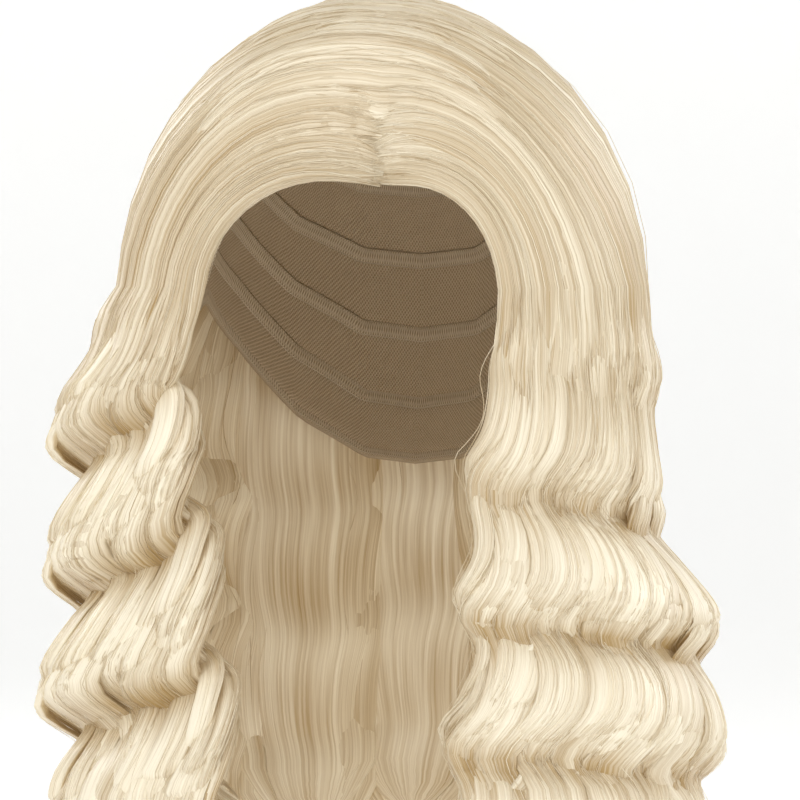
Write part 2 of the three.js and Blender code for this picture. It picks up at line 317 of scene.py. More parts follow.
def hair_face(side, around, s, changes, inner=False):
    """Places on the hair's face, the direction away from it and how near a crest they are."""
    root = np.clip(around / ROUND_SIDE, 0, 1)
    front = np.clip(-around / ROUND_EDGE, 0, 1.9)
    rear = np.clip((around - ROUND_SIDE) / ROUND_EDGE, 0, 1.2)
    lock = between_rows(root)
    if inner:
        rear = 0.0
        lock["turn"] = lock["turn"] + 0.6 * np.maximum(around - ROUND_SIDE, 0)
    lock["comb"] = 0.9 * ease(root / 0.3) * (1 - ease((root - 0.55) / 0.4))
    lock = lock | {name: lock[name] * scale + more for name, (scale, more) in changes.items()}
    place, across, out, half, deep, crest = lay_lock(lock, side, s)
    a, b = rounded((1 - front + rear) * np.pi / 2)
    b = -b if inner else b
    away = unit(across * (a * deep)[..., None] + out * (b * half)[..., None])
    return place + across * (a * half)[..., None] + out * (b * deep)[..., None], away, crest * b


def under_face(side, i, around, s, changes):
    """The same for one of the locks under the others."""
    lock = table_row(under_locks, i, 0)
    lock = lock | {name: lock[name] * scale + more for name, (scale, more) in changes.items()}
    place, across, out, half, deep, crest = lay_lock(lock, side, s)
    a, b = rounded(around / ROUND_UNDER)
    away = unit(across * (a * deep)[..., None] + out * (b * half)[..., None])
    return place + across * (a * half)[..., None] + out * (b * deep)[..., None], away, crest * b


def middle_face(around, s, changes):
    """The same at the middle of the back, between the last locks of both sides."""
    return under_face("left", 2, around, s, changes | {"turn": (1.0, 28.0), "layer": (0.0, 0.5)})


spot = hair_face("right", np.array([60.0]), np.array([0.5]), {})[0][0]
print("half way down the right side the hair's face is at", spot.round())

# %% [markdown]
# ## Clear of the net
# Hair rooted in the cap must not dip through the net into the empty hollow. A boolean or a
# shrinkwrap would bend whole locks, so only the points that lie too deep are pushed out, each
# along its own direction from the middle of the cap's form.

# %% Push deep places out
CLEARANCE = CAP_WALL + 0.8
RIM_BLEND = 12.0


def head_taper(facing):
    """How much the cap's form draws in below its widest line; facing is 1 at the front."""
    return 0.06 + 0.05 * (1 - facing) ** 2 + 0.04 * (1 - facing ** 2)


def clear_of_cap(place):
    """Places moved out, where they lie over the cap, until they clear its net."""
    x, y, z = (place[..., k] for k in range(3))
    reach = np.array([HEAD_HALF_WIDTH, HEAD_HALF_LENGTH, HEAD_CROWN_HEIGHT]) + CLEARANCE
    high = (z + HEAD_CROWN_HEIGHT) / reach[2]
    flat = np.maximum(np.hypot(x / reach[0], y / reach[1]), 0.2)
    facing = -y / np.maximum(np.hypot(x, y), 1e-6)
    over = np.maximum(1 / np.maximum(np.hypot(flat, high), 0.2), 1)
    beside = np.maximum((1 - head_taper(facing) * np.minimum(high, 0) ** 2) / flat, 1)
    turn = np.degrees(np.arccos(np.clip(facing, -1, 1)))
    low_edge = -HEAD_CROWN_HEIGHT * np.interp(turn, rim["turn"], rim["drop"])
    needed = ease((z - low_edge) / RIM_BLEND + 0.5)
    sideways = 1 + (np.where(high > 0, over, beside) - 1) * needed
    upward = 1 + (np.where(high > 0, over, 1) - 1) * needed
    raised = (z + HEAD_CROWN_HEIGHT) * upward - HEAD_CROWN_HEIGHT
    return vectors(x * sideways, y * sideways, raised)


deep = clear_of_cap(np.array([0.0, -40.0, -30.0]))
print("a place 30 mm down in the hollow moves to", deep.round())

# %% [markdown]
# ## Hair finish
# Blonde fibre is pale where light strikes it and golden in the folds, because light that
# bounces between pale fibres grows warmer each time. Blender's own hair shader is made for
# thin curves, and its look can't be baked for the export. Here two attributes paint that
# light and shade into the colour. One holds a painted highlight on outer faces and wave
# crests, and painted shade at edges, in troughs and grooves, and where hair lies low or under
# other hair. The other gives each sheet or strand its own random tone, with painted shade on
# the lining inside the fall. A shader group mixes them with streaks, from a map in metres
# along the fibre.

# %% Write the helpers for nodes
def link(tree, source, output, target, socket):
    """A link between two sockets given by name."""
    tree.links.new(source.outputs[output], target.inputs[socket])


def add_node(tree, kind, settings=None, **values):
    """A node with its settings, and its sockets set by name."""
    node = tree.nodes.new(kind)
    for name, value in (settings or {}).items():
        setattr(node, name, value)
    for name, value in values.items():
        node.inputs[name.replace("_", " ")].default_value = value
    return node


def add_math(tree, operation, first, second, clamp=False):
    """A math node fed by sockets or numbers."""
    node = add_node(tree, "ShaderNodeMath", {"operation": operation, "use_clamp": clamp})
    for socket, value in zip(node.inputs, (first, second)):
        if isinstance(value, (int, float)):
            socket.default_value = value
        else:
            tree.links.new(value, socket)
    return node.outputs["Value"]


def add_socket(group, name, way, kind, value=None):
    """A named input or output of a node group."""
    socket = group.interface.new_socket(name=name, in_out=way, socket_type=f"NodeSocket{kind}")
    if value is not None:
        socket.default_value = value


def mix_colours(tree, share, low, high):
    """A colour between two others."""
    mix = add_node(tree, "ShaderNodeMix", {"data_type": "RGBA"})
    tree.links.new(share, mix.inputs["Factor"])
    tree.links.new(low, mix.inputs[6])
    tree.links.new(high, mix.inputs[7])
    return mix.outputs[2]


print("node helpers ready in Blender", bpy.app.version_string)

# %% Build the streak group
# streaks a metre across the fibre and along it, and how finely they break up
FINE_STREAKS, BROAD_STREAKS = (1300.0, 8.0, 3.0), (360.0, 6.0, 2.0)
SOFT_PATCHES = (60.0, 11.0, 1.0)
FINE_SHARE, STREAK_CONTRAST = 0.7, 2.3
# the pale colour of lit fibre, and a dark golden colour that serves both for dark streaks and for
# painted shade in the folds
LIT_BLONDE, DARK_STREAK_AND_SHADE_BLONDE = (0.93, 0.86, 0.69, 1), (0.37, 0.235, 0.08, 1)


def streak_noise(tree, flow, across, along, detail):
    """Noise drawn out along the fibre."""
    stretch = add_node(tree, "ShaderNodeMapping", Scale=(across, along, 1.0))
    tree.links.new(flow, stretch.inputs["Vector"])
    noise = add_node(tree, "ShaderNodeTexNoise", Scale=1.0, Detail=detail, Roughness=0.6)
    link(tree, stretch, "Vector", noise, "Vector")
    return noise.outputs["Fac"]


def streak_and_shade_group():
    """Colour, height and roughness of combed fibre, with painted shade mixed into the colour."""
    group = bpy.data.node_groups.new("streaks_and_painted_shade", "ShaderNodeTree")
    add_socket(group, "Flow", "INPUT", "Vector")
    add_socket(group, "Depth", "INPUT", "Float")
    add_socket(group, "Tint", "INPUT", "Float")
    add_socket(group, "Lit", "INPUT", "Color", LIT_BLONDE)
    add_socket(group, "Fold", "INPUT", "Color", DARK_STREAK_AND_SHADE_BLONDE)
    add_socket(group, "Color", "OUTPUT", "Color")
    add_socket(group, "Height", "OUTPUT", "Float")
    add_socket(group, "Roughness", "OUTPUT", "Float")
    math_here = partial(add_math, group)
    start = group.nodes.new("NodeGroupInput")
    stop = group.nodes.new("NodeGroupOutput")
    flow = start.outputs["Flow"]
    fine = streak_noise(group, flow, *FINE_STREAKS)
    broad = streak_noise(group, flow, *BROAD_STREAKS)
    soft = streak_noise(group, flow, *SOFT_PATCHES)
    height = math_here("ADD", math_here("MULTIPLY", fine, FINE_SHARE),
                       math_here("MULTIPLY", broad, 1 - FINE_SHARE))
    group.links.new(height, stop.inputs["Height"])
    streaks = math_here("MULTIPLY", math_here("SUBTRACT", height, 0.5), STREAK_CONTRAST)
    patches = math_here("SUBTRACT", soft, 0.5)
    # painted shade from the attribute is added to the streaks' own random tone
    shade = math_here("ADD", math_here("ADD", streaks, patches), start.outputs["Depth"])
    shade = math_here("ADD", shade, start.outputs["Tint"], clamp=True)
    colour = mix_colours(group, shade, start.outputs["Fold"], start.outputs["Lit"])
    group.links.new(colour, stop.inputs["Color"])
    rough = math_here("SUBTRACT", 0.54, math_here("MULTIPLY", height, 0.35))
    group.links.new(rough, stop.inputs["Roughness"])
    return group


print("the streak group has", len(streak_and_shade_group().nodes), "nodes")

# %% [markdown]
# ## Gloss along the fibre
# Combed fibre shines in a band across the strands, like satin. A round highlight would look
# like plastic, so the highlight is drawn out by the Principled shader's anisotropy, with its
# tangent taken from the map that runs along the fibre. A faint warm glow stands for the light
# that passes between the fibres. Locks and sheets have relief from the streaks, and strands
# are too thin to need it.

# %% Make the hair finishes
def hair_material(name, bump):
    """Glossy blonde fibre."""
    material = bpy.data.materials.new(name)
    material.use_nodes = True
    tree = material.node_tree
    shader = tree.nodes["Principled BSDF"]
    shader.inputs["IOR"].default_value = 1.55
    shader.inputs["Specular IOR Level"].default_value = 0.7
    shader.inputs["Anisotropic"].default_value = 0.8
    shader.inputs["Emission Color"].default_value = (1.0, 0.68, 0.32, 1)
    shader.inputs["Emission Strength"].default_value = 0.07
    along_uv = {"direction_type": "UV_MAP", "uv_map": "hair_flow"}
    combed = add_node(tree, "ShaderNodeTangent", along_uv)
    link(tree, combed, "Tangent", shader, "Tangent")
    streaks = tree.nodes.new("ShaderNodeGroup")
    streaks.node_tree = bpy.data.node_groups["streaks_and_painted_shade"]
    flow = add_node(tree, "ShaderNodeUVMap", {"uv_map": "hair_flow"})
    link(tree, flow, "UV", streaks, "Flow")
    for attribute, socket in (("depth", "Depth"), ("tint", "Tint")):
        reader = add_node(tree, "ShaderNodeAttribute", {"attribute_name": attribute})
        link(tree, reader, "Fac", streaks, socket)
    link(tree, streaks, "Color", shader, "Base Color")
    link(tree, streaks, "Roughness", shader, "Roughness")
    if bump:
        relief = add_node(tree, "ShaderNodeBump", Strength=bump, Distance=0.0007)
        link(tree, streaks, "Height", relief, "Height")
        link(tree, relief, "Normal", shader, "Normal")
    return material


lock_finish = hair_material("blonde_locks", 0.8)
sheet_finish = hair_material("blonde_sheets", 0.7)
strand_finish = hair_material("blonde_strands", 0.0)
print("hair finishes:", lock_finish.name, sheet_finish.name, strand_finish.name)

# %% [markdown]
# ## Net cap
# The cap is a wall of stretch net. A dome with a Solidify modifier would do, but its rim
# would be a separate strip. Here a ball's lower half is folded up inside its upper half, so
# that one closed skin makes both faces and the rim.

# %% Fold a ball into the cap
CAP_TURNS, CAP_ROWS = 96, 20
ROW_LENGTH = 0.19  # metres down a wall of the cap, for the size of its weave


def head_point(turn, tilt, out):
    """Point of the form that the cap is fitted to, out from its skin, in millimetres."""
    c = math.cos(tilt)
    k = math.sin(tilt) if c > 0 else 1 - head_taper(math.cos(turn)) * c * c
    return Vector((
        (HEAD_HALF_WIDTH + out) * k * math.sin(turn),
        -(HEAD_HALF_LENGTH + out) * k * math.cos(turn),
        (HEAD_CROWN_HEIGHT + out) * c - HEAD_CROWN_HEIGHT,
    ))


def rim_tilt(turn):
    """Tilt of the cap's edge at a turn away from the front."""
    degrees = abs((math.degrees(turn) + 180) % 360 - 180)
    return math.acos(1 - float(np.interp(degrees, rim["turn"], rim["drop"])))


def cap_body():
    """The folded ball."""
    body = bmesh.new()
    weave = body.loops.layers.uv.new("cap_weave")
    bake = body.loops.layers.uv.new("OFBake")
    last = 2 * CAP_ROWS + 1
    bmesh.ops.create_uvsphere(body, u_segments=CAP_TURNS, v_segments=last, radius=1.0)
    for face in body.faces:
        middle = math.atan2(face.calc_center_median().x, -face.calc_center_median().y)
        for loop in face.loops:
            co = loop.vert.co
            turn = math.atan2(co.x, -co.y) if abs(co.z) < 0.9999 else middle
            turn += 2 * math.pi * round((middle - turn) / (2 * math.pi))
            row = math.acos(max(-1.0, min(1.0, co.z))) / math.pi
            loop[weave].uv = (turn * HEAD_HALF_LENGTH * MM, row * 2 * ROW_LENGTH)
            loop[bake].uv = (turn / (2 * math.pi) + 0.5, row)
    for v in body.verts:
        turn = math.atan2(v.co.x, -v.co.y)
        row = round(math.acos(max(-1.0, min(1.0, v.co.z))) / math.pi * last)
        outside = row <= CAP_ROWS
        share = (row if outside else last - row) / CAP_ROWS
        v.co = head_point(turn, rim_tilt(turn) * share, CAP_WALL if outside else 0.0) * MM
    return body


cap = cap_body()
print("the folded cap has", len(cap.faces), "faces")

# %% [markdown]
# ## Tapes
# Wefts, bands of hair sewn on at their top edge, show inside the cap as rows of raised tape,
# and an elastic tape binds the rim. Each is a closed loop with six corners. A bevelled curve
# would twist on such a loop, so the corners are set out from the cap's own form.

# %% Sew the tapes
TAPE_WIDTH, TAPE_THICKNESS = 7.0, 0.9
TAPE_SECTION = ((-1, -0.6), (-0.8, 1), (0.8, 1), (1, -0.6), (0.8, -1), (-0.8, -1))
TAPE_ROWS, TAPE_INSET = (0.28, 0.42, 0.56, 0.7, 0.84), -0.2
RIM_ROW, RIM_INSET = 0.975, 0.3
TAPE_WEAVE = (0.004, 0.0015)


def add_tape(body, line, outward):
    """A closed flat tape along a loop of points in millimetres."""
    count, corner_count = len(line), len(TAPE_SECTION)
    corners = []
    for i, (point, out) in enumerate(zip(line, outward)):
        ahead = (line[(i + 1) % count] - line[i - 1]).normalized()
        wide = ahead.cross(out).normalized() * TAPE_WIDTH / 2
        thick = out * TAPE_THICKNESS / 2
        corners.append([body.verts.new((point + wide * a + thick * b) * MM)
                        for a, b in TAPE_SECTION])
    bake, weave = body.loops.layers.uv["OFBake"], body.loops.layers.uv["cap_weave"]
    for i in range(count):
        here, there = corners[i], corners[(i + 1) % count]
        for j in range(corner_count):
            k = (j + 1) % corner_count
            face = body.faces.new((here[j], there[j], there[k], here[k]))
            for loop, (x, y) in zip(face.loops, ((i, j), (i + 1, j), (i + 1, j + 1), (i, j + 1))):
                loop[bake].uv = (x / count, y / corner_count)
                loop[weave].uv = (x * TAPE_WEAVE[0], y * TAPE_WEAVE[1])


def cap_loop(share, inset):
    """A loop round the cap at a share of the way to its rim."""
    turns = [2 * math.pi * i / (2 * CAP_TURNS) for i in range(2 * CAP_TURNS)]
    line = [head_point(t, rim_tilt(t) * share, inset) for t in turns]
    beyond = [head_point(t, rim_tilt(t) * share, inset + 1) for t in turns]
    return line, [(b - a).normalized() for a, b in zip(line, beyond)]


tapes = bmesh.new()
tapes.loops.layers.uv.new("cap_weave")
tapes.loops.layers.uv.new("OFBake")
for share in TAPE_ROWS:
    add_tape(tapes, *cap_loop(share, TAPE_INSET))
add_tape(tapes, *cap_loop(RIM_ROW, RIM_INSET))
print("tapes inside the cap:", len(TAPE_ROWS), "and one at the rim")

# %% [markdown]
# ## Net finish
# The net is knitted from thin thread, with a small diamond mesh. Threads made as geometry
# would take millions of faces, so a shader group draws two sets of slanting ribs and a little
# fuzz. Its height feeds a bump, and the net and the tape use it with their own thread.

# %% Knit the net finish
MESH_PITCH = 0.0034
NET_THREAD, TAPE_THREAD = (0.66, 0.53, 0.36, 1), (0.72, 0.61, 0.44, 1)
MESH_SHADE = (0.3, 0.2, 0.11, 1)


def net_group():
    """Colour and height of a knitted net."""
    group = bpy.data.node_groups.new("knitted_net", "ShaderNodeTree")
    add_socket(group, "Weave", "INPUT", "Vector")
    add_socket(group, "Thread", "INPUT", "Color", NET_THREAD)
    add_socket(group, "Mesh", "INPUT", "Color", MESH_SHADE)
    add_socket(group, "Color", "OUTPUT", "Color")
    add_socket(group, "Height", "OUTPUT", "Float")
    math_here = partial(add_math, group)
    start = group.nodes.new("NodeGroupInput")
    stop = group.nodes.new("NodeGroupOutput")
    split = group.nodes.new("ShaderNodeSeparateXYZ")
    link(group, start, "Weave", split, "Vector")
    ribs = []
    for sign in (1.0, -1.0):
        slant = math_here("MULTIPLY", split.outputs["Y"], sign)
        mixed = math_here("ADD", split.outputs["X"], slant)
        wave = math_here("SINE", math_here("MULTIPLY", mixed, 2 * math.pi / MESH_PITCH), 0.0)
        ribs.append(math_here("POWER", math_here("ABSOLUTE", wave, 0.0), 0.7))
    knit = math_here("MULTIPLY", *ribs)
    noise = add_node(group, "ShaderNodeTexNoise", Scale=900.0, Detail=2.0)
    link(group, start, "Weave", noise, "Vector")
    fuzz = math_here("MULTIPLY", math_here("SUBTRACT", noise.outputs["Fac"], 0.5), 0.5)
    shade = math_here("ADD", math_here("SUBTRACT", 1.15, knit), fuzz, clamp=True)
    colour = mix_colours(group, shade, start.outputs["Mesh"], start.outputs["Thread"])
    group.links.new(colour, stop.inputs["Color"])
    group.links.new(shade, stop.inputs["Height"])
    return group


def net_material(name, thread):
    """Matt knitted fabric with a colour of thread."""
    material = bpy.data.materials.new(name)
    material.use_nodes = True
    tree = material.node_tree
    shader = tree.nodes["Principled BSDF"]
    shader.inputs["Roughness"].default_value = 0.85
    knit = tree.nodes.new("ShaderNodeGroup")
    knit.node_tree = bpy.data.node_groups["knitted_net"]
    knit.inputs["Thread"].default_value = thread
    weave = add_node(tree, "ShaderNodeUVMap", {"uv_map": "cap_weave"})
    link(tree, weave, "UV", knit, "Weave")
    link(tree, knit, "Color", shader, "Base Color")
    relief = add_node(tree, "ShaderNodeBump", Strength=0.6, Distance=0.0006)
    link(tree, knit, "Height", relief, "Height")
    link(tree, relief, "Normal", shader, "Normal")
    return material


net_group()
net, tape = net_material("stretch_net", NET_THREAD), net_material("weft_tape", TAPE_THREAD)
print("cap finishes:", net.name, tape.name)

# %% Dress the cap
def place_mesh(name, mesh, material):
    """An object of a mesh with its finish, smooth and at the origin."""
    mesh.shade_smooth()
    mesh.materials.append(material)
    piece = bpy.data.objects.new(name, mesh)
    bpy.context.scene.collection.objects.link(piece)
    return piece


def finish_mesh(name, body, material):
    """A bmesh made an object with its finish."""
    bmesh.ops.remove_doubles(body, verts=body.verts, dist=1e-6)
    bmesh.ops.recalc_face_normals(body, faces=body.faces)
    mesh = bpy.data.meshes.new(name)
    body.to_mesh(mesh)
    body.free()
    return place_mesh(name, mesh, material)


def dress(piece, node):
    """Seats a piece in the frame in place of a solid."""
    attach(piece, "root")
    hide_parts(node)
    print(piece.name, "stands for", node, "with", len(piece.data.polygons), "faces")


dress(finish_mesh("stretch_net_cap", cap, net), "net_cap")
dress(finish_mesh("weft_tapes_and_rim", tapes, tape), "net_cap")

# %% [markdown]
# ## Locks
# The body of each lock fills the hair from within, so that no gap shows between the sheets.
# The solid itself could stay there, but it is coarse. Instead a flat grid is rolled to a tube
# and bent along its way, with the flutes into which combed hair parts. It lies a little
# inside its solid, so that sheets and strands can lie on it. Its colour is darker, painted
# shade as falls on deep hair, most on its under side and in the grooves of the flutes, with
# a painted highlight on its outer face, its ridges and its crests.

# %% Roll and bend the locks
AROUND, ALONG = 24, 66
BODY_SHARE = 0.8
LOCK_GIRTH, LOCK_RUN, LOCK_SHIFT = 0.09, 0.33, 0.37  # metres of the streak pattern


def flutes(u, s, seed):
    """Relief of a combed lock: ridges that wander along it."""
    phase = np.random.default_rng(seed).uniform(0, 2 * np.pi, 6)
    turn = 2 * np.pi * u
    ridges = 0.5 * np.sin(5 * turn + phase[0] + 1.3 * np.sin(4 * s + phase[1]))
    ridges += 0.35 * np.sin(9 * turn + phase[2] - 1.6 * np.sin(3 * s + phase[3]))
    return ridges * (0.05 + 0.08 * ease((s - 0.1) / 0.6))


def add_lock(body, lock, side, seed, column, columns):
    """Adds one fluted lock to a bmesh, with its maps and its painted shade."""
    flow, bake = body.loops.layers.uv["hair_flow"], body.loops.layers.uv["OFBake"]
    depth_layer = body.verts.layers.float["depth"]
    verts = bmesh.ops.create_grid(body, x_segments=AROUND, y_segments=ALONG, size=0.5)["verts"]
    flat = np.array([v.co[:] for v in verts])
    u, s = flat[:, 0] + 0.5, flat[:, 1] + 0.5
    girth = LOCK_GIRTH * lock["width"]
    for face in {f for v in verts for f in v.link_faces}:
        for loop in face.loops:
            across, along = loop.vert.co[0] + 0.5, loop.vert.co[1] + 0.5
            loop[flow].uv = (across * girth + LOCK_SHIFT * seed, along * LOCK_RUN)
            loop[bake].uv = ((column + across) / columns, along)
    place, across, out, half, deep, crest = lay_lock(lock, side, s)
    a, b = rounded(2 * np.pi * u - np.pi / 2)
    open_end = (s > 1e-4) & (s < 1 - 1e-4)
    swell = BODY_SHARE * (1 + flutes(u, s, seed)) * open_end
    at = place + across * (a * half * swell)[:, None] + out * (b * deep * swell)[:, None]
    # painted shade: paler on the outer face, the ridges and the crests, darker underneath and in
    # the grooves
    depth = 0.46 + 0.14 * np.clip(b, -0.5, 1) + 1.8 * flutes(u, s, seed) + 0.1 * crest * b
    for v, co, d in zip(verts, clear_of_cap(at) * MM, depth):
        v.co = co
        v[depth_layer] = d


def lock_bodies(name, members, node):
    """One object of several fluted locks."""
    body = bmesh.new()
    body.loops.layers.uv.new("hair_flow")
    body.loops.layers.uv.new("OFBake")
    body.verts.layers.float.new("depth")
    for column, (lock, side, seed) in enumerate(members):
        add_lock(body, lock, side, seed, column, len(members))
    dress(finish_mesh(name, body, lock_finish), node)

# %% Make the locks of each section
sections = {"front_hair": (0, 1), "side_hair": (2, 3), "back_hair": (4, 5)}
side_seed = {"left": 20, "right": 0}
for section, rows in sections.items():
    for side in SIDES:
        members = [(table_row(top_locks, i, 1), side, i + side_seed[side]) for i in rows]
        lock_bodies(f"{side}_{section}_locks", members, f"{side}_{section}")
centre = [(table_row(top_locks, 6, 1), side, 6 + side_seed[side]) for side in SIDES]
lock_bodies("centre_hair_locks", centre, "centre_hair")
under = [(table_row(under_locks, i, 0), side, 40 + i + side_seed[side])
         for side in SIDES for i in range(3)]
lock_bodies("nape_hair_locks", under, "nape_hair")

# %% [markdown]
# ## Many tubes in one mesh
# Sheets and strands are both closed tubes: a sheet is flat and wide with sixteen corners, and
# a strand has three. An operator for each would be too slow, so arrays hold the corners of
# all tubes of a section at once, and a few functions join them to one mesh.

# %% Join the corners of many tubes
def facing_outward(points, *others):
    """The same arrays, with the corners turned round on tubes that are inside out."""
    spokes = points - points.mean(axis=2, keepdims=True)
    wound = np.cross(spokes, np.roll(spokes, -1, axis=2)).sum(axis=2)
    ahead = np.gradient(points.mean(axis=2), axis=1)
    inward = (wound * ahead).sum(axis=(1, 2)) < 0
    return [np.where(inward.reshape(-1, *[1] * (v.ndim - 1)), v[:, :, ::-1], v)
            for v in (points, *others)]


def tube_faces(count, steps, ring):
    """Vertex of each face corner, corners of each face, and where round its tube each is."""
    turn = np.arange(ring)
    ahead = (turn + 1) % ring
    first = (np.arange(count)[:, None] * steps + np.arange(steps - 1)) * ring
    quads = np.stack([first[..., None] + k for k in (turn, ahead, ahead + ring, turn + ring)],
                     axis=-1)
    roots = np.arange(count)[:, None] * steps * ring + turn[::-1]
    tips = roots[:, ::-1] + (steps - 1) * ring
    loops = np.concatenate([quads.ravel(), roots.ravel(), tips.ravel()])
    quad_count = quads.size // 4
    sizes = np.concatenate([np.full(quad_count, 4), np.full(2 * count, ring)])
    on_quads = np.tile([0, 1, 1, 0], quad_count)
    on_quads += np.repeat(np.tile(turn, quad_count // ring), 4)
    corner = np.concatenate([on_quads, np.tile(turn[::-1], count), np.tile(turn, count)])
    return loops, sizes, corner


loops, sizes, corner = tube_faces(1, 3, 4)
print("a tube of 3 steps and 4 corners has", len(sizes), "faces")

# %% Make an object of many tubes
def fill(layer, field, values, kind=np.float32):
    """Writes an array to a layer of a mesh."""
    layer.foreach_set(field, values.astype(kind).ravel())


def tube_object(name, points, lateral, length, tint, depth, finish, node):
    """One object of closed tubes; points has the axes tube, step, corner and x y z."""
    count, steps, ring = points.shape[:3]
    points, lateral, length, tint, depth = facing_outward(points, lateral, length, tint, depth)
    loops, sizes, corner = tube_faces(count, steps, ring)
    mesh = bpy.data.meshes.new(name)
    mesh.vertices.add(points.size // 3)
    fill(mesh.vertices, "co", points * MM)
    mesh.loops.add(len(loops))
    fill(mesh.loops, "vertex_index", loops, np.int32)
    mesh.polygons.add(len(sizes))
    starts = np.concatenate([[0], np.cumsum(sizes)[:-1]])
    fill(mesh.polygons, "loop_start", starts, np.int32)
    mesh.update(calc_edges=True)
    tube, step = loops // (steps * ring), (loops // ring) % steps
    bake = np.stack([(tube + corner / ring) / count, step / (steps - 1)], axis=-1)
    flow = np.stack([lateral.ravel()[loops], length.ravel()[loops]], axis=-1) * MM
    for layer, values in (("hair_flow", flow), ("OFBake", bake)):
        fill(mesh.uv_layers.new(name=layer).data, "uv", values)
    for attribute, values in (("tint", tint), ("depth", depth)):
        fill(mesh.attributes.new(attribute, "FLOAT", "POINT").data, "value", values)
    dress(place_mesh(name, mesh, finish), node)

# %% Name the steps and the drift of strands
def steps_down(on_crown, in_fall):
    """Shares along the hair, closer together in the waves of the fall."""
    over = np.linspace(0, CROWN_SHARE, on_crown, endpoint=False)
    return np.concatenate([over, np.linspace(CROWN_SHARE, 1, in_fall)])


def wander(rng, count, s, waves_along, size):
    """Smooth random drift along each strand."""
    phase = rng.uniform(0, 2 * np.pi, (count, len(waves_along), 1))
    pace = rng.uniform(0.6, 1.4, (count, len(waves_along), 1)) * np.array(waves_along)[:, None]
    return size * np.sin(2 * np.pi * pace * s + phase).sum(axis=1) / len(waves_along)


def strand_points(place, away, radius):
    """Three corners round each step of each strand."""
    along = unit(np.gradient(place, axis=1))
    beside = unit(np.cross(along, away))
    turn = (np.array([0.0, 2.0, 4.0]) * np.pi / 3)[:, None]
    ring = beside[:, :, None] * np.cos(turn) + away[:, :, None] * np.sin(turn)
    return place[:, :, None] + ring * radius[..., None, None]


HAIR_STEPS = steps_down(12, 47)
STRAND_RADIUS, STRAND_TINT = 0.17, 0.12
PATTERN_SHIFT, STRAND_SHIFT = 131, 977  # so that no two neighbours share their streaks
CORNER_SHIFT = np.array([0.0, 0.35, 0.7])
few = 1.0
print("steps of a sheet or strand:", len(HAIR_STEPS))

# %% [markdown]
# ## Sheets of combed hair
# Real waves are made of flat sheets that lie over each other like tiles, each a little
# higher, lower, earlier or later than the next. One wrinkled skin over the locks could carry
# the same pattern, but it would have no edges that cast shadows. Each row of the spread
# gives a section's range in millimetres round the side, and how many sheets and curls lie
# there. Curls are narrower and stand out more, and a lining of calm sheets closes the inside.

# %% Choose the sheets of a section
spread = table("start stop sheets curls", [
    (-26, 53, 20, 5),
    (53, 130, 18, 5),
    (130, 202, 16, 4),
    (202, 236, 9, 2),
])
LINING_SHEETS = 5
NAPE_RANGE = (-54, 6)


def lay_sheets(rng, start, stop, count):
    """Random values of smooth sheets that cover a section.

    Each has its place round the side, half its width, its height over the ear (low) and in
    the fall (lift), how its waves differ, where it begins and ends, and its shade.
    """
    place = start + (stop - start) * (np.arange(count) + rng.uniform(0.1, 0.9, count)) / count
    return {
        "around": place,
        "half": rng.uniform(9, 19, count) * np.where(place < 10, 0.7, 1.0),
        "low": rng.uniform(-2.4, 0.2, count),
        "lift": rng.uniform(-3.0, 1.2, count),
        "thick": rng.uniform(0.7, 1.25, count),
        "lag": rng.normal(0, 0.05, count),
        "sway": rng.normal(1, 0.1, count),
        "end": 1 - 0.07 * rng.random(count),
        "begin": rng.uniform(0.005, 0.045, count),
        "narrow": rng.uniform(0.2, 0.6, count),
        "waved": np.ones(count),
        "tint": rng.normal(0, 0.05, count),
    }


def lay_curls(rng, start, stop, count):
    """Random values of narrow curls that come out of the sheets below the ear."""
    curls = lay_sheets(rng, start, stop, count)
    return curls | {
        "half": rng.uniform(8, 14, count),
        "low": np.full(count, -5.0),
        "lift": rng.uniform(-0.5, 2.2, count),
        "lag": rng.normal(0, 0.06, count),
        "sway": rng.uniform(0.92, 1.12, count),
        "end": rng.uniform(0.8, 0.98, count),
        "tint": rng.normal(0.03, 0.06, count),
    }


def lay_lining(rng, start, stop, count):
    """Random values of calm sheets that hang inside the fall."""
    lining = lay_sheets(rng, start, stop, count)
    return lining | {
        "half": rng.uniform(15, 24, count),
        "low": np.full(count, -2.0),
        "lift": rng.uniform(2.0, 4.5, count),
        "waved": np.full(count, 0.35),
        "narrow": rng.uniform(0.0, 0.3, count),
        # painted shade: the lining inside the fall is darker, on top of its random tone
        "tint": rng.normal(-0.12, 0.05, count),
    }


sample = lay_sheets(np.random.default_rng(1), 0, 60, 3)
print("three sheets lie at", sample["around"].round(), "mm round the side")

# %% [markdown]
# ## The form of a sheet
# A sheet is a lens in section, narrow at the root, widest over the ear and drawn in at the
# tip. It starts under its neighbours at the parting, rises, and follows the waves of the
# face below it. Shallow grooves run down it. Painted shade darkens its edges, its troughs
# and the sheets that lie lower, and a painted highlight lightens its crests and outer face.

# %% Place the corners of sheets
SHEET_CORNERS = 16
SHEET_THICKNESS = 5.0
ROOT_DIVE = 1.5


